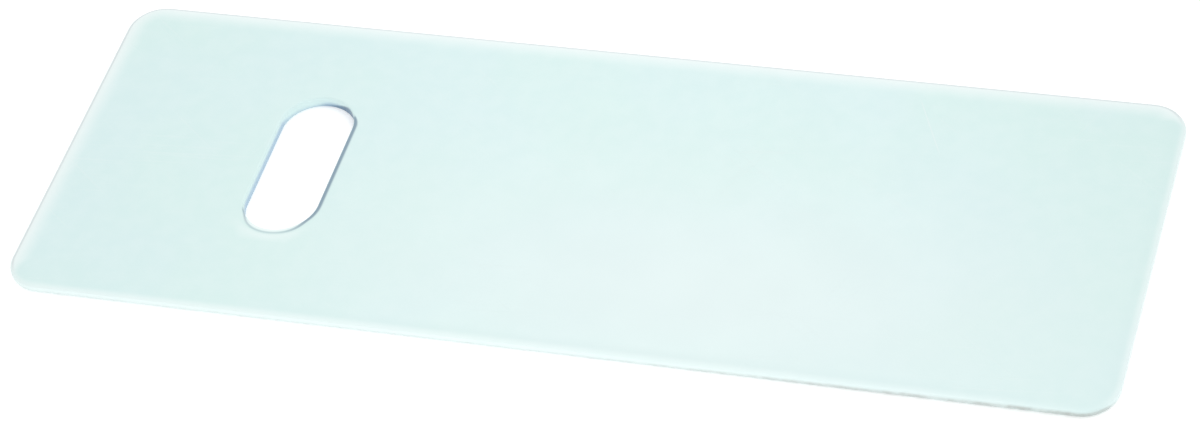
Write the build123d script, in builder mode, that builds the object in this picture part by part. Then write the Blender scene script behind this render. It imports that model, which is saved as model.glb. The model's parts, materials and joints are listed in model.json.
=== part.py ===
from build123d import *
import os

# One-piece plastic mortar hawk: a flat slab with a hand slot near one end.
# Frame: +X runs along the board, away from the slot; +Y runs across it; +Z is up.
# The origin is the centre of the board's footprint, on the surface it lies on.

# Driving dimensions, in millimetres
board_length = 550.0
board_width = 200.0
board_thickness = 6.5
corner_radius = 18.0  # the outline's four corners, seen from above
edge_band = 0.5  # upright band left round the middle of the board's outer edge
slot_length = 92.0  # hand slot, measured across the board
slot_width = 38.0  # room for a gloved hand's fingers
slot_setback = 123.0  # from the near end of the board to the slot's centre line
slot_arris_radius = 1.0  # the slot's edges are crisper than the outline's

# Places and sizes that follow
rim_arris_radius = (board_thickness - edge_band) / 2
slot_centre_x = slot_setback - board_length / 2
slot_turn = 90  # the slot runs across the board, along Y

with BuildPart() as board:
    # Slab, its outer edges rounded over
    with BuildSketch():
        RectangleRounded(board_length, board_width, corner_radius)
    extrude(amount=board_thickness)
    rim_edges = board.edges().group_by(Axis.Z)
    fillet(rim_edges[0] + rim_edges[-1], radius=rim_arris_radius)
    # Hand slot, cut right through, its edges eased
    with BuildSketch():
        with Locations((slot_centre_x, 0)):
            SlotOverall(slot_length, slot_width, rotation=slot_turn)
    extrude(amount=board_thickness, mode=Mode.SUBTRACT)
    slot_edges = board.edges(Select.LAST).group_by(Axis.Z)
    fillet(slot_edges[0] + slot_edges[-1], radius=slot_arris_radius)
board.part.label = "board"

os.makedirs("parts", exist_ok=True)
export_step(board.part, "parts/board.step")
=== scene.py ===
import json
import math

import bmesh
import bpy
from mathutils import Matrix, Vector, noise
from mathutils.geometry import delaunay_2d_cdt


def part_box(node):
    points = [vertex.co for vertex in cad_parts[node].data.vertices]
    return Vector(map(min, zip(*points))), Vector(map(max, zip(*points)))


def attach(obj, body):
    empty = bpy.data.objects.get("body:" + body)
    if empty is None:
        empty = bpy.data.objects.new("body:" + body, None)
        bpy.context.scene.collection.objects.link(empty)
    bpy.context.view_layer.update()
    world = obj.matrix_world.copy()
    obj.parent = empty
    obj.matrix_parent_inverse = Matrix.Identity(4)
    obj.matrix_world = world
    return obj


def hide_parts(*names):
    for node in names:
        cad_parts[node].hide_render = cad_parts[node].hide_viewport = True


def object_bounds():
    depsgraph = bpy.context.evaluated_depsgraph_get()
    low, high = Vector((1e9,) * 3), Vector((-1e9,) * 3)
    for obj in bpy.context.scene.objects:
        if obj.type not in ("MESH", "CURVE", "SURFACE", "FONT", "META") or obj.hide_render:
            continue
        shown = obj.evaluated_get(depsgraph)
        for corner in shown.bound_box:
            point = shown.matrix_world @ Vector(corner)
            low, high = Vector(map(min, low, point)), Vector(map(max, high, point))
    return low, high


# The looks of a one-piece plastic hawk board, in metres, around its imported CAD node.
# The board lies flat: +X along it, away from its slot's end; +Y across it; +Z up.
# Near, far, left and right are as the camera sees them: near is -Y, and left is -X.
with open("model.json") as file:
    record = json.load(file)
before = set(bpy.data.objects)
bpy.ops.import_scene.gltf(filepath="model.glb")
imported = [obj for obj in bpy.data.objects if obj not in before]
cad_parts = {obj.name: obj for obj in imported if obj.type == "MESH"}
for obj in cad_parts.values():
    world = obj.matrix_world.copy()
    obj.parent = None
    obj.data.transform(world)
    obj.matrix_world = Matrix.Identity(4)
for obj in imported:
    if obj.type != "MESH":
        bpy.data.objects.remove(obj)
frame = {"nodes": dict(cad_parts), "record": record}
cad_lo, cad_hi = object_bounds()

MM = 0.001

# Camera: the photograph's viewing angle
CAMERA_AZIMUTH = math.radians(23.49)  # 0 looks along +Y, 90 looks along -X
CAMERA_ELEVATION = math.radians(45.03)
CAMERA_ROLL = math.radians(10.82)  # the camera leans, which makes the board fall to the right
CAMERA_DISTANCE = 1.951
CAMERA_LENS = 120.97  # in millimetres, on a sensor 36 mm wide
SENSOR_WIDTH = 36.0
CAMERA_AIM = Vector((6.3 * MM, -9.9 * MM, 0))  # where its axis meets the floor

# Mesh fineness
CORNER_STEPS = 24  # faces round one corner of the outline
SLOT_END_STEPS = 48  # faces round one half-round end of the slot
RIM_PITCH = 2.0 * MM  # face length along a straight edge
ARRIS_STEPS = 12  # faces across one rounded arris
WALL_PITCH = 0.5 * MM  # face height on an upright wall
FACE_PITCH = 5.0 * MM  # face size in the middle of a flat
# Loops on a flat, this far in from the outline's edge and from the slot's
RIM_MARGIN = (0.35 * MM, 1.0 * MM, 2.0 * MM, 3.5 * MM)
SLOT_MARGIN = (0.25 * MM, 0.6 * MM, 1.0 * MM, 1.4 * MM, 1.9 * MM, 2.4 * MM, 3.1 * MM, 4.5 * MM)
MARGIN_CLEARANCE = 2.0 * MM  # least gap from the last loop to the middle's points
SAME_PLACE = 0.02 * MM
CDT_TOLERANCE = 1e-7

# The outline's top edge is rounded over wide and shallow: width seen from above, and depth
RIM_SHOULDER = (8.0 * MM, 2.0 * MM)

# Flatness of a moulded board: both faces dip a little between their edges
DIP_DEPTH = 0.10 * MM
DIP_SIZE = 90 * MM  # width of one dip
DIP_FADE = 25 * MM  # no dip at an edge, full depth this far in
TOP_SEED = 0.0
BOTTOM_SEED = 7.0


# ---------------------------------------------------------------- sizes off the CAD node
class Board:
    """The board's driving sizes, read off its CAD node and its slot's mount."""

    def __init__(self):
        lo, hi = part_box("board")
        mount = next(m for m in frame["record"]["mounts"] if m["name"] == "hand_slot")
        self.slot_x, self.slot_y = mount["pos_m"][:2]
        self.half_length = hi.x
        self.half_width = hi.y
        self.bottom, self.top = lo.z, hi.z
        points = [v.co for v in frame["nodes"]["board"].data.vertices]
        top_points = [p for p in points if hi.z - p.z < SAME_PLACE]
        self.corner_radius = hi.x - max(p.x for p in points if hi.y - p.y < SAME_PLACE)
        self.rim_arris = hi.x - max(p.x for p in top_points)
        # the slot's upright wall, and its edge on the top flat, which its arris moves outwards
        slot_points = [p for p in points if self.by_slot(p)]
        reach = min(abs(p.z - hi.z / 2) for p in slot_points) + SAME_PLACE
        wall = [p for p in slot_points if abs(p.z - hi.z / 2) < reach]
        edge = [p for p in top_points if self.by_slot(p)]
        self.slot_half_width = max(abs(p.x - self.slot_x) for p in wall)
        self.slot_half_length = max(abs(p.y - self.slot_y) for p in wall)
        self.slot_arris = max(abs(p.x - self.slot_x) for p in edge) - self.slot_half_width
        self.slot_straight = self.slot_half_length - self.slot_half_width

    def by_slot(self, point):
        """Whether a point of the board's mesh belongs to the slot, not to the outline."""
        return (abs(point.x - self.slot_x) < self.half_width / 2
                and abs(point.y - self.slot_y) < self.half_width - self.corner_radius)


board = Board()


# ---------------------------------------------------------------- plan geometry
def smooth(value, low, high):
    """0 below low, 1 above high, and a smooth step between."""
    t = min(max((value - low) / (high - low), 0), 1)
    return t * t * (3 - 2 * t)


def fade(value, low, high):
    """1 below low, 0 above high, and a smooth step between."""
    return 1 - smooth(value, low, high)


def arc(cx, cy, radius, start, end, steps):
    """Points on an arc, in degrees, without its last point."""
    turn = [math.radians(start + (end - start) * i / steps) for i in range(steps)]
    return [(cx + radius * math.cos(t), cy + radius * math.sin(t)) for t in turn]


def run(a, b, steps):
    """Points along a straight run, without its last point."""
    return [(a[0] + (b[0] - a[0]) * i / steps, a[1] + (b[1] - a[1]) * i / steps)
            for i in range(steps)]


def outline(inset):
    """The board's outline, moved in by inset, counterclockwise."""
    x = board.half_length - board.corner_radius
    y = board.half_width - board.corner_radius
    r = board.corner_radius - inset
    long_steps = round(2 * x / RIM_PITCH)
    short_steps = round(2 * y / RIM_PITCH)
    return (
        arc(x, y, r, 0, 90, CORNER_STEPS) + run((x, y + r), (-x, y + r), long_steps)
        + arc(-x, y, r, 90, 180, CORNER_STEPS) + run((-x - r, y), (-x - r, -y), short_steps)
        + arc(-x, -y, r, 180, 270, CORNER_STEPS) + run((-x, -y - r), (x, -y - r), long_steps)
        + arc(x, -y, r, 270, 360, CORNER_STEPS) + run((x + r, -y), (x + r, y), short_steps)
    )


def slot_outline(inset):
    """The slot's outline, moved into the plastic by inset, counterclockwise."""
    y = board.slot_straight
    r = board.slot_half_width + inset
    cx, cy = board.slot_x, board.slot_y
    steps = round(2 * y / RIM_PITCH)
    left = run((cx - r, cy + y), (cx - r, cy - y), steps)
    right = run((cx + r, cy - y), (cx + r, cy + y), steps)
    return (arc(cx, cy + y, r, 0, 180, SLOT_END_STEPS) + left
            + arc(cx, cy - y, r, 180, 360, SLOT_END_STEPS) + right)


def past_corner(x, y):
    """How far (x, y) is past the centre of the nearest corner's arc, both ways."""
    return (abs(x) - (board.half_length - board.corner_radius),
            abs(y) - (board.half_width - board.corner_radius))


def edge_distance(x, y):
    """How far (x, y) is inside the outline, in metres."""
    px, py = past_corner(x, y)
    return board.corner_radius - math.hypot(max(px, 0), max(py, 0)) - min(max(px, py), 0)


def edge_direction(x, y):
    """The unit vector out through the outline's nearest point."""
    px, py = past_corner(x, y)
    if px > 0 and py > 0:
        out = Vector((px, py)).normalized()
    else:
        out = Vector((1, 0)) if px > py else Vector((0, 1))
    return Vector((math.copysign(out.x, x), math.copysign(out.y, y)))


def from_slot_line(x, y):
    """The vector to (x, y) from the nearest point of the slot's middle line."""
    along = min(max(y - board.slot_y, -board.slot_straight), board.slot_straight)
    return Vector((x - board.slot_x, y - board.slot_y - along))


def slot_distance(x, y):
    """How far (x, y) is from the slot's wall, in metres; positive in the plastic."""
    return from_slot_line(x, y).length - board.slot_half_width


def flat_margin(x, y, insets):
    """How far (x, y) is inside a flat whose loops lie at these insets from rim and slot."""
    return min(edge_distance(x, y) - insets[0], slot_distance(x, y) - insets[1])


def dip(x, y, face_seed):
    """How far a face lies below its true plane at (x, y)."""
    inside = min(edge_distance(x, y), slot_distance(x, y)) - RIM_SHOULDER[0]
    wave = 0.5 + 0.5 * noise.noise(Vector((x / DIP_SIZE, y / DIP_SIZE, face_seed)))
    return DIP_DEPTH * wave * smooth(inside, 0, DIP_FADE)


# ---------------------------------------------------------------- where each finish and each painted light and shade shows
# A pair is where a finish starts and ends to fade in or out. Pairs named SPREAD are cosines
# of the angle to a side, pairs named DEPTH are below the top, and the other pairs in
# millimetres are in from the outline or from the slot's wall.
FINISHES = ("milk", "edge_line", "slot_foot", "slot_lip", "grime", "rubbed")
NEAR_SIDE = Vector((0, -1))

# Painted glow along the outline: light shining through the plastic's edges, painted as a paler
# band, wide on the far and left sides
FAR_LEFT = Vector((-0.50, 0.87))
FAR_LEFT_SPREAD = (-0.3, 0.4)
RIM_NEAR_SPREAD = (0.2, 0.9)
GLOW_WIDTHS = (3.6 * MM, 12.5 * MM)  # where it is narrow, and where it is wide
GLOW_NARROW = 0.64  # its weight where it is narrow
GLOW_WIDE_MORE = 0.36
NEAR_RIGHT_X = (-0.06, board.half_length)  # the part of the near edge where it grows duller
GLOW_NEAR_RIGHT_LESS = 0.24
TIP_X = (0.20, 0.27)  # the near-right corner, where it is duller still
GLOW_TIP_LESS = 0.25

# Painted shade: a thin grey line at the silhouette, in the wide part of the painted glow
LINE_START = (0.5 * MM, 1.1 * MM)
LINE_END = (1.4 * MM, 2.4 * MM)
LINE_DEPTH = (2.0 * MM, 3.0 * MM)

# Painted contact shadow low on the outer wall, higher and darker towards the near right
CONTACT_SHADE_DEPTH = (2.6 * MM, 5.0 * MM)
CONTACT_SHADE_NEAR_RIGHT_RISE = 1.6 * MM
CONTACT_SHADE_REACH = (3.0 * MM, 12 * MM)
CONTACT_SHADE_WEIGHT = 0.18
CONTACT_SHADE_NEAR_RIGHT_MORE = 0.55

# Painted shade: a dark line on the slot's upper lip, on the sides whose wall the camera can't
# see
WALL_SIDE = Vector((-0.40, 0.92))  # the sides whose wall it sees
LIP_SIDE = Vector((0.97, 0.24))  # the side where the line is darkest and broadest
LIP_SPREAD = (-0.1, 0.9)
SLOT_NEAR_SPREAD = (0.5, 1.0)
BROAD_SPREAD = (-0.3, 0.2)  # to WALL_SIDE: the line narrows towards the seen wall
LIP_CENTRE = 0.2 * MM
LIP_CENTRE_BROAD = 1.1 * MM  # added where the line is broad
LIP_CENTRE_NEAR = 2.6 * MM  # added on the near side
LIP_HALF_WIDTH = 0.8 * MM
LIP_HALF_WIDTH_BROAD = 0.7 * MM
LIP_CORE = 0.3  # the part of the half width that has full weight
LIP_WEIGHT = 0.50
LIP_RIGHT_MORE = 0.28
LIP_NEAR_LESS = 0.20
LIP_END_SPREAD = (-0.05, 0.1)  # to WALL_SIDE: the line ends where the wall starts to be seen
LIP_DEPTH = (1.0 * MM, 2.5 * MM)

# Painted bluish shade at the foot of the slot's wall on the sides that the camera sees, and its
# darkest part, a painted shadow towards the far right
FAINT_SIDE = Vector((-0.71, 0.71))  # where the foot is thinnest and faintest
FAINT_SPREAD = (0.70, 0.98)
FOOT_LESS = 0.45
FOOT_TOP = 0.8 * MM
FOOT_TOP_FAR = 1.2 * MM  # added on the far side
FOOT_TOP_FAINT = 1.5 * MM  # added where it is faint
FOOT_FADE = 3.0 * MM
OFF_FLAT = (1.0 * MM, 2.5 * MM)
DEEP_SIDE = Vector((0.71, 0.71))
DEEP_SPREAD = (0.35, 1.0)
DEEP_START_SPREAD = (-0.25, 0.0)  # to WALL_SIDE
DEEP_TOP_SPREAD = (0.35, 0.95)  # to WALL_SIDE: the wall is dark all the way up below this
DEEP_TOP = 4.0 * MM
DEEP_FADE = 1.6 * MM
DEEP_WEIGHT = 0.9

# Painted highlight at the slot's near end: on the lip, and beyond the thin line
HALO_END = (1.2 * MM, 2.4 * MM)
HALO_DEPTH = (2 * MM, 4 * MM)
BEYOND_START = (3.4 * MM, 4.6 * MM)
BEYOND_END = (4.6 * MM, 9 * MM)
BEYOND_WEIGHT = 0.5

# Painted sheen: the part of the top painted paler where a soft highlight falls
SHEEN_CENTRE = Vector((0.075, -0.055))
SHEEN_SIZE = Vector((0.17, 0.075))
SHEEN_DEPTH = (0.5 * MM, 1.5 * MM)


def rim_finishes(co, depth):
    """The painted edge glow, the painted grey shade line at its outer side, and the painted
    contact shadow low on the wall.
    """
    inset = edge_distance(co.x, co.y)
    out = edge_direction(co.x, co.y)
    near = smooth(out.dot(NEAR_SIDE), *RIM_NEAR_SPREAD)
    near_right = near * smooth(co.x, *NEAR_RIGHT_X)
    tip = near * smooth(co.x, *TIP_X)

    # painted edge glow
    side = smooth(out.dot(FAR_LEFT), *FAR_LEFT_SPREAD)
    width = GLOW_WIDTHS[0] + (GLOW_WIDTHS[1] - GLOW_WIDTHS[0]) * side
    milk = GLOW_NARROW + GLOW_WIDE_MORE * side
    milk -= GLOW_NEAR_RIGHT_LESS * near_right + GLOW_TIP_LESS * tip
    milk *= fade(inset, 0, width)

    # painted shade line at the silhouette
    line = side * smooth(inset, *LINE_START) * fade(inset, *LINE_END)
    line *= fade(depth, *LINE_DEPTH)

    # painted contact shadow low on the wall
    rise = CONTACT_SHADE_NEAR_RIGHT_RISE * near_right
    grime = smooth(depth + rise, *CONTACT_SHADE_DEPTH) * fade(inset, *CONTACT_SHADE_REACH)
    grime *= CONTACT_SHADE_WEIGHT + CONTACT_SHADE_NEAR_RIGHT_MORE * near_right
    return milk, line, grime


def slot_finishes(co, depth):
    """The painted highlight beside the slot, the painted bluish shade at the foot of its wall
    and the painted shade on its upper lip.
    """
    away = from_slot_line(co.x, co.y)
    inset = away.length - board.slot_half_width
    out = away.normalized()
    wall = out.dot(WALL_SIDE)
    right = smooth(out.dot(LIP_SIDE), *LIP_SPREAD)
    near = smooth(out.dot(NEAR_SIDE), *SLOT_NEAR_SPREAD)
    off_flat = fade(inset, *OFF_FLAT)

    # painted shade line on the slot's upper lip
    broad = right * fade(wall, *BROAD_SPREAD)
    centre = LIP_CENTRE + LIP_CENTRE_BROAD * broad + LIP_CENTRE_NEAR * near
    half = LIP_HALF_WIDTH + LIP_HALF_WIDTH_BROAD * broad
    lip = LIP_WEIGHT + LIP_RIGHT_MORE * right - LIP_NEAR_LESS * near
    lip *= fade(wall, *LIP_END_SPREAD) * fade(abs(inset - centre), LIP_CORE * half, half)
    lip *= fade(depth, *LIP_DEPTH)

    # painted bluish shade at the foot of the wall
    faint = smooth(out.dot(FAINT_SIDE), *FAINT_SPREAD)
    foot_top = FOOT_TOP + FOOT_TOP_FAR * max(out.y, 0) + FOOT_TOP_FAINT * faint
    foot = (1 - FOOT_LESS * faint) * smooth(depth, foot_top, foot_top + FOOT_FADE) * off_flat
    # painted shadow, darkest towards the far right
    deep_top = DEEP_TOP * smooth(wall, *DEEP_TOP_SPREAD)
    deep = smooth(out.dot(DEEP_SIDE), *DEEP_SPREAD) * smooth(wall, *DEEP_START_SPREAD)
    deep *= DEEP_WEIGHT * smooth(depth, deep_top, deep_top + DEEP_FADE) * off_flat

    # painted highlight at the slot's near end
    halo = fade(inset, *HALO_END) * fade(depth, *HALO_DEPTH)
    beyond = BEYOND_WEIGHT * smooth(inset, *BEYOND_START) * fade(inset, *BEYOND_END)
    return near * max(halo, beyond), foot, max(lip, deep)


def finish_weights(co):
    """How much of each finish and each painted light and shade shows at a point of the board,
    in the order of FINISHES.
    """
    depth = board.top - co.z
    milk, line, grime = rim_finishes(co, depth)
    halo, foot, lip = slot_finishes(co, depth)
    # painted sheen: a soft highlight on the top, painted paler
    reach = Vector((co.x, co.y)) - SHEEN_CENTRE
    spread = (reach.x / SHEEN_SIZE.x) ** 2 + (reach.y / SHEEN_SIZE.y) ** 2
    rubbed = math.exp(-spread) * fade(depth, *SHEEN_DEPTH)
    # the painted edge glow and the painted highlight at the slot's near end share one weight
    return max(milk, halo), line, foot, lip, grime, rubbed


# ---------------------------------------------------------------- the board's mesh
def edge_profile(width, depth, under_radius):
    """(inset, height) from the top flat's edge down to the bottom flat's edge."""
    turns = [math.pi / 2 * i / ARRIS_STEPS for i in range(ARRIS_STEPS + 1)]
    over = [(width * (1 - math.sin(t)), board.top - depth * (1 - math.cos(t))) for t in turns]
    under = [(under_radius * (1 - math.sin(t)), board.bottom + under_radius * (1 - math.cos(t)))
             for t in reversed(turns)]
    return over + wall_steps(over[-1][1], under[0][1]) + under


def wall_steps(high, low):
    """(inset, height) between the two arrises of an upright wall, none on a short one."""
    count = max(math.ceil((high - low) / WALL_PITCH) - 1, 0)
    return [(0.0, high + (low - high) * (i + 1) / (count + 1)) for i in range(count)]


def top_height(x, y):
    return board.top - dip(x, y, TOP_SEED)


def bottom_height(x, y):
    return board.bottom + dip(x, y, BOTTOM_SEED)


def build_board():
    """The whole board: two flats, with rounded arrises round the outline and the slot."""
    mesh = bpy.data.meshes.new("board_skin")
    bm = bmesh.new()
    top_loops, bottom_loops, top_insets, bottom_insets = [], [], [], []
    slot_arris = board.slot_arris
    edges = (
        (outline, RIM_SHOULDER, board.rim_arris, RIM_MARGIN, False),
        (slot_outline, (slot_arris, slot_arris), slot_arris, SLOT_MARGIN, True),
    )
    for shape, shoulder, under_radius, margin, inward in edges:
        rings = [[(x, y, top_height(x, y)) for x, y in shape(shoulder[0] + step)]
                 for step in reversed(margin)]
        rings += [[(x, y, z) for x, y in shape(inset)]
                  for inset, z in edge_profile(*shoulder, under_radius)]
        rings += [[(x, y, bottom_height(x, y)) for x, y in shape(under_radius + step)]
                  for step in margin]
        loops = [[bm.verts.new(point) for point in ring] for ring in rings]
        for first, second in zip(loops, loops[1:]):
            skin(bm, first, second, inward)
        top_loops.append(loops[0])
        bottom_loops.append(loops[-1])
        top_insets.append(shoulder[0] + margin[-1])
        bottom_insets.append(under_radius + margin[-1])
    fill_flat(bm, top_loops, top_height, top_insets, True)
    fill_flat(bm, bottom_loops, bottom_height, bottom_insets, False)
    bmesh.ops.recalc_face_normals(bm, faces=bm.faces)
    for face in bm.faces:
        face.smooth = True
    layers = [bm.verts.layers.float.new(name) for name in FINISHES]
    for vert in bm.verts:
        for layer, weight in zip(layers, finish_weights(vert.co)):
            vert[layer] = weight
    bm.to_mesh(mesh)
    bm.free()
    piece = bpy.data.objects.new("board_skin", mesh)
    bpy.context.scene.collection.objects.link(piece)
    return piece


def skin(bm, first, second, inward):
    """Joins two loops of equal length with a band of quads."""
    for i in range(len(first)):
        j = (i + 1) % len(first)
        quad = (first[i], first[j], second[j], second[i])
        bm.faces.new(quad if inward else quad[::-1])


def fill_flat(bm, loops, height, insets, faces_up):
    """Fills a flat between its outer loop and the slot's loop, which lie at these insets."""
    verts = loops[0] + loops[1]
    points = [Vector((v.co.x, v.co.y)) for v in verts]
    edges = []
    start = 0
    for loop in loops:
        count = len(loop)
        edges += [(start + i, start + (i + 1) % count) for i in range(count)]
        start += count
    columns = math.floor(board.half_length / FACE_PITCH)
    rows = math.floor(board.half_width / FACE_PITCH)
    for i in range(-columns, columns + 1):
        for j in range(-rows, rows + 1):
            x, y = i * FACE_PITCH, j * FACE_PITCH
            if flat_margin(x, y, insets) > MARGIN_CLEARANCE:
                points.append(Vector((x, y)))
                verts.append(bm.verts.new((x, y, height(x, y))))
    _, _, triangles, origin, _, _ = delaunay_2d_cdt(points, edges, [], 0, CDT_TOLERANCE)
    source = [own[0] for own in origin]
    slot_loop = range(len(loops[0]), len(loops[0]) + len(loops[1]))
    for triangle in triangles:
        # the slot's loop is convex, so a triangle with all its corners on it fills the slot
        if all(source[i] in slot_loop for i in triangle):
            continue
        corner = [verts[source[i]] for i in triangle]
        bm.faces.new(corner if faces_up else corner[::-1])


# ---------------------------------------------------------------- materials
class Nodes:
    """Short calls for building a material's nodes."""

    def __init__(self, name):
        self.material = bpy.data.materials.new(name)
        self.material.use_nodes = True
        self.tree = self.material.node_tree
        self.shader = self.tree.nodes["Principled BSDF"]
        self.place = self.new("ShaderNodeTexCoord").outputs["Object"]

    def new(self, kind):
        return self.tree.nodes.new(kind)

    def put(self, value, socket):
        """Links a socket's value, or sets a plain one."""
        if isinstance(value, bpy.types.NodeSocket):
            self.tree.links.new(value, socket)
        else:
            socket.default_value = value

    def math(self, operation, *values):
        node = self.new("ShaderNodeMath")
        node.operation = operation
        for value, socket in zip(values, node.inputs):
            self.put(value, socket)
        return node.outputs[0]

    def times(self, a, b):
        return self.math("MULTIPLY", a, b)

    def finish(self, name):
        """The weight of one finish, or of one painted light or shade, stored on the mesh."""
        node = self.new("ShaderNodeAttribute")
        node.attribute_name = name
        return node.outputs["Fac"]

    def ramp(self, value, low, high, start=0.0, end=1.0):
        """A smooth step from start to end as value goes from low to high."""
        node = self.new("ShaderNodeMapRange")
        node.interpolation_type = "SMOOTHSTEP"
        for item, socket in zip((value, low, high, start, end), node.inputs):
            self.put(item, socket)
        return node.outputs[0]

    def mix(self, factor, a, b):
        """Two colours mixed: a where factor is 0, b where it is 1."""
        node = self.new("ShaderNodeMix")
        node.data_type = "RGBA"
        sockets = (node.inputs[0], node.inputs[6], node.inputs[7])
        for value, socket in zip((factor, a, b), sockets):
            self.put(value, socket)
        return node.outputs[2]

    def moved(self, shift=(0, 0, 0), turn=0.0, scale=(1, 1, 1)):
        """The place on the object, shifted to a new origin, turned about Z, then scaled."""
        shifted = self.new("ShaderNodeVectorMath")
        shifted.operation = "SUBTRACT"
        self.put(self.place, shifted.inputs[0])
        self.put(shift, shifted.inputs[1])
        turned = self.new("ShaderNodeMapping")
        turned.inputs["Rotation"].default_value = (0, 0, -turn)
        self.put(shifted.outputs[0], turned.inputs["Vector"])
        scaled = self.new("ShaderNodeVectorMath")
        scaled.operation = "MULTIPLY"
        self.put(turned.outputs[0], scaled.inputs[0])
        self.put(scale, scaled.inputs[1])
        return scaled.outputs[0]

    def noise(self, size, detail=2.0, place=None):
        """Noise from 0 to 1 whose grains are about this size, in metres."""
        node = self.new("ShaderNodeTexNoise")
        node.inputs["Scale"].default_value = 1 / size
        node.inputs["Detail"].default_value = detail
        self.put(self.place if place is None else place, node.inputs["Vector"])
        return node.outputs[0]

    def bump(self, height, distance, normal=None):
        node = self.new("ShaderNodeBump")
        node.inputs["Distance"].default_value = distance
        self.put(height, node.inputs["Height"])
        if normal is not None:
            self.put(normal, node.inputs["Normal"])
        return node.outputs[0]


AQUA = (0.647, 0.827, 0.803, 1)
AQUA_BLUE = (0.651, 0.820, 0.819, 1)
# painted sheen: the paler tone where a soft highlight falls on the top
SHEEN_PAINT = (0.709, 0.823, 0.818, 1)
SCUFFED = (0.76, 0.86, 0.855, 1)
# Milky white: the mottling's paler tone, and the painted glow at the edges and the slot's near
# end
MILK_AND_GLOW_WHITE = (0.85, 0.925, 0.92, 1)
# painted shade line at the outline's silhouette
EDGE_SHADE_LINE = (0.66, 0.73, 0.74, 1)
# painted contact shadow low on the outer wall
CONTACT_SHADE = (0.34, 0.34, 0.32, 1)
# painted bluish shade at the foot of the slot's wall
SLOT_FOOT_SHADE = (0.38, 0.53, 0.65, 1)
# painted shade: the dark line on the slot's upper lip and the darkest part at the foot of its
# wall
SLOT_DARK_SHADE = (0.10, 0.18, 0.28, 1)

# Hairlines from use: direction in degrees, and how rare they are (higher is rarer)
HAIRLINES = ((4, 0.72), (63, 0.75), (-38, 0.74))
HAIRLINE_LENGTH = 60 * MM
HAIRLINE_PITCH = 1.2 * MM
HAIRLINE_EDGE = 0.05
HAIRLINE_SHIFT = Vector((0.31, 0.17, 0))  # moves each direction's noise to a new place
HAIRLINE_WEIGHT = 0.20
# The one clear scratch in the photograph, near the far edge
SCRATCH_START = Vector((0.1436, 0.0877))
SCRATCH_END = Vector((0.1628, 0.0480))
SCRATCH_HALF_WIDTH = 0.5 * MM
SCRATCH_CORE = 0.6  # the part of its half length that has full weight
SCRATCH_WEIGHT = 0.65

# Grain sizes and amounts of the plastic's mottling
CLOUD_SIZE = 110 * MM
CLOUD_RANGE = (0.35, 0.65)
MOTTLE_SIZE = 9 * MM
MOTTLE_RANGE = (0.3, 0.7)
MOTTLE_WEIGHT = 0.10
PATCH_SIZE = 70 * MM  # hairlines show only in patches of about this size
PATCH_SHIFT = (0.4, 0.1, 0)
PATCH_RANGE = (0.42, 0.68)
BAND_SIZE = 14 * MM
BAND_RANGE = (0.2, 0.8)
BAND_LEAST = 0.88
# grain that breaks up the painted contact shadow
SHADE_GRAIN_SIZE = 6 * MM
SHADE_GRAIN_RANGE = (0.3, 0.7)
SHADE_GRAIN_LEAST = 0.5
GLOSS_SIZE = 35 * MM
GLOSS_SHIFT = (0.7, 0.2, 0)
GLOSS_RANGE = (0.3, 0.7)
ROUGHNESS = (0.32, 0.42)
MARKS_ROUGHER = 0.15
GLOW_BAND_ROUGHER = 0.08
PEEL_SIZE, PEEL_HEIGHT = 1.6 * MM, 0.014 * MM
GRAIN_SIZE, GRAIN_HEIGHT = 0.35 * MM, 0.003 * MM
MARK_DEPTH = 0.02 * MM
PLASTIC_IOR = 1.50


def hairlines(nodes):
    """Fine straight scratches in a few directions, from 0 to 1."""
    total = None
    stretch = (HAIRLINE_PITCH / HAIRLINE_LENGTH, 1, 1)
    for index, (degrees, rarity) in enumerate(HAIRLINES):
        place = nodes.moved(HAIRLINE_SHIFT * index, math.radians(degrees), stretch)
        streaks = nodes.noise(HAIRLINE_PITCH, detail=0.0, place=place)
        line = nodes.ramp(streaks, rarity, rarity + HAIRLINE_EDGE)
        total = line if total is None else nodes.math("MAXIMUM", total, line)
    return total


def scratch(nodes):
    """The one long scratch, from 0 to 1."""
    span = SCRATCH_END - SCRATCH_START
    middle = (SCRATCH_START + SCRATCH_END) / 2
    half = span.length / 2
    place = nodes.moved((middle.x, middle.y, 0), math.atan2(span.y, span.x))
    parts = nodes.new("ShaderNodeSeparateXYZ")
    nodes.put(place, parts.inputs[0])
    x, y, z = parts.outputs
    along = nodes.ramp(nodes.math("ABSOLUTE", x), SCRATCH_CORE * half, half, 1.0, 0.0)
    across = nodes.ramp(nodes.math("ABSOLUTE", y), 0.0, SCRATCH_HALF_WIDTH, 1.0, 0.0)
    on_top = nodes.math("GREATER_THAN", z, board.top / 2)
    return nodes.times(nodes.times(along, across), on_top)


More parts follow.
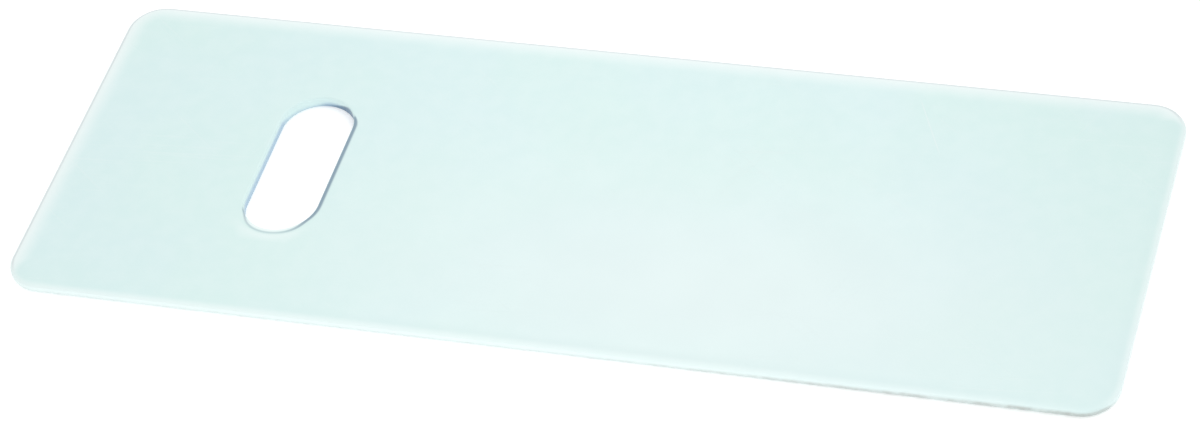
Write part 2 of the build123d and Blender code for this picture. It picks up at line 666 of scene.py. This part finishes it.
def board_plastic():
    """Milky polyethylene: satin, faintly clouded, with marks of use; its colour also holds a
    painted glow at its edges, a painted sheen and painted shade.
    """
    nodes = Nodes("board_plastic")
    patches = nodes.noise(PATCH_SIZE, place=nodes.moved(PATCH_SHIFT))
    lines = nodes.times(hairlines(nodes), nodes.ramp(patches, *PATCH_RANGE))
    one_line = scratch(nodes)
    marks = nodes.math("MAXIMUM", lines, one_line)
    milk = nodes.finish("milk")

    cloud = nodes.ramp(nodes.noise(CLOUD_SIZE, detail=3.0), *CLOUD_RANGE)
    colour = nodes.mix(cloud, AQUA, AQUA_BLUE)
    mottle = nodes.ramp(nodes.noise(MOTTLE_SIZE, detail=4.0), *MOTTLE_RANGE)
    colour = nodes.mix(nodes.times(mottle, MOTTLE_WEIGHT), colour, MILK_AND_GLOW_WHITE)
    # painted sheen on the top
    colour = nodes.mix(nodes.finish("rubbed"), colour, SHEEN_PAINT)
    faint_lines = nodes.times(lines, HAIRLINE_WEIGHT)
    clear_line = nodes.times(one_line, SCRATCH_WEIGHT)
    colour = nodes.mix(nodes.math("MAXIMUM", faint_lines, clear_line), colour, SCUFFED)
    band = nodes.ramp(nodes.noise(BAND_SIZE, detail=3.0), *BAND_RANGE, BAND_LEAST, 1.0)
    # painted glow at the edges, and the painted highlight at the slot's near end
    colour = nodes.mix(nodes.times(milk, band), colour, MILK_AND_GLOW_WHITE)
    # painted shade line at the outline's silhouette
    colour = nodes.mix(nodes.finish("edge_line"), colour, EDGE_SHADE_LINE)
    # painted bluish shade at the foot of the slot's wall
    colour = nodes.mix(nodes.finish("slot_foot"), colour, SLOT_FOOT_SHADE)
    # painted shade on the slot's upper lip and at the darkest foot of its wall
    colour = nodes.mix(nodes.finish("slot_lip"), colour, SLOT_DARK_SHADE)
    # painted contact shadow low on the outer wall, broken up by noise
    shade_grain = nodes.ramp(nodes.noise(SHADE_GRAIN_SIZE, detail=4.0), *SHADE_GRAIN_RANGE, SHADE_GRAIN_LEAST, 1.0)
    colour = nodes.mix(nodes.times(nodes.finish("grime"), shade_grain), colour, CONTACT_SHADE)
    nodes.put(colour, nodes.shader.inputs["Base Color"])

    gloss = nodes.noise(GLOSS_SIZE, detail=4.0, place=nodes.moved(GLOSS_SHIFT))
    rough = nodes.ramp(gloss, *GLOSS_RANGE, *ROUGHNESS)
    rough = nodes.math("ADD", rough, nodes.times(marks, MARKS_ROUGHER))
    rough = nodes.math("ADD", rough, nodes.times(milk, GLOW_BAND_ROUGHER))
    nodes.put(rough, nodes.shader.inputs["Roughness"])

    peel = nodes.bump(nodes.noise(PEEL_SIZE), PEEL_HEIGHT)
    grain = nodes.bump(nodes.noise(GRAIN_SIZE, detail=1.0), GRAIN_HEIGHT, peel)
    cut = nodes.bump(nodes.math("SUBTRACT", 1.0, marks), MARK_DEPTH, grain)
    nodes.put(cut, nodes.shader.inputs["Normal"])
    nodes.shader.inputs["IOR"].default_value = PLASTIC_IOR
    return nodes.material


FLOOR_COLOUR = (0.9, 0.9, 0.9, 1)
FLOOR_GLOW = 0.27  # the floor is a light table, which keeps its shadows faint


def floor_white():
    material = bpy.data.materials.new("floor_white")
    material.use_nodes = True
    shader = material.node_tree.nodes["Principled BSDF"]
    shader.inputs["Base Color"].default_value = FLOOR_COLOUR
    shader.inputs["Roughness"].default_value = 1.0
    shader.inputs["Specular IOR Level"].default_value = 0.0
    shader.inputs["Emission Color"].default_value = (1, 1, 1, 1)
    shader.inputs["Emission Strength"].default_value = FLOOR_GLOW
    return material


# ---------------------------------------------------------------- stage, light and camera
FLOOR_SIZE = 8.0
FLOOR_GAP = 0.02 * MM  # the floor is this far below the board
WORLD_STRENGTH = 0.865
KEY_ENERGY = 0.20
KEY_ANGLE = math.radians(60)
KEY_TOWARDS = Vector((0.6, 0.1, 0.7))
BOX_AIM = Vector((0.08, -0.06, 0))
# Softboxes: name, place, width, height, energy
SOFTBOXES = (
    ("back_box", Vector((-0.12, 0.40, 0.52)), 0.40, 0.25, 0.45),
    ("front_box", Vector((0.12, -0.55, 0.55)), 0.40, 0.30, 0.9),
)


def make_floor():
    mesh = bpy.data.meshes.new("floor")
    bm = bmesh.new()
    bmesh.ops.create_grid(bm, x_segments=1, y_segments=1, size=FLOOR_SIZE / 2)
    bm.to_mesh(mesh)
    bm.free()
    floor = bpy.data.objects.new("floor", mesh)
    bpy.context.scene.collection.objects.link(floor)
    floor.location.z = cad_lo.z - FLOOR_GAP
    mesh.materials.append(floor_white())


def make_light():
    """An even white dome, a weak wide sun and two small softboxes."""
    world = bpy.data.worlds.new("studio")
    bpy.context.scene.world = world
    world.use_nodes = True
    background = world.node_tree.nodes["Background"]
    background.inputs["Color"].default_value = (1, 1, 1, 1)
    background.inputs["Strength"].default_value = WORLD_STRENGTH
    key = bpy.data.lights.new("key", "SUN")
    key.energy = KEY_ENERGY
    key.angle = KEY_ANGLE
    place_light(key, Vector((0, 0, 0)), KEY_TOWARDS)
    for name, place, width, height, energy in SOFTBOXES:
        light = bpy.data.lights.new(name, "AREA")
        light.shape = "RECTANGLE"
        light.size = width
        light.size_y = height
        light.energy = energy
        place_light(light, place, place - BOX_AIM)


def place_light(light, place, back):
    """Puts a light at a place, shining away from the direction back."""
    lamp = bpy.data.objects.new(light.name, light)
    bpy.context.scene.collection.objects.link(lamp)
    lamp.location = place
    lamp.rotation_euler = back.to_track_quat("Z", "Y").to_euler()


def make_camera():
    data = bpy.data.cameras.new("camera")
    data.lens = CAMERA_LENS
    data.sensor_width = SENSOR_WIDTH
    camera = bpy.data.objects.new("camera", data)
    bpy.context.scene.collection.objects.link(camera)
    back = Vector((
        math.sin(CAMERA_AZIMUTH) * math.cos(CAMERA_ELEVATION),
        -math.cos(CAMERA_AZIMUTH) * math.cos(CAMERA_ELEVATION),
        math.sin(CAMERA_ELEVATION),
    ))
    facing = (-back).to_track_quat("-Z", "Y").to_matrix().to_4x4()
    place = Matrix.Translation(CAMERA_AIM + back * CAMERA_DISTANCE)
    camera.matrix_world = place @ facing @ Matrix.Rotation(-CAMERA_ROLL, 4, "Z")
    bpy.context.scene.camera = camera


# ---------------------------------------------------------------- making it all
make_camera()
make_floor()
make_light()
bpy.context.scene.view_settings.view_transform = "Standard"

skin_piece = build_board()
skin_piece.data.materials.append(board_plastic())
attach(skin_piece, "root")
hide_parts("board")
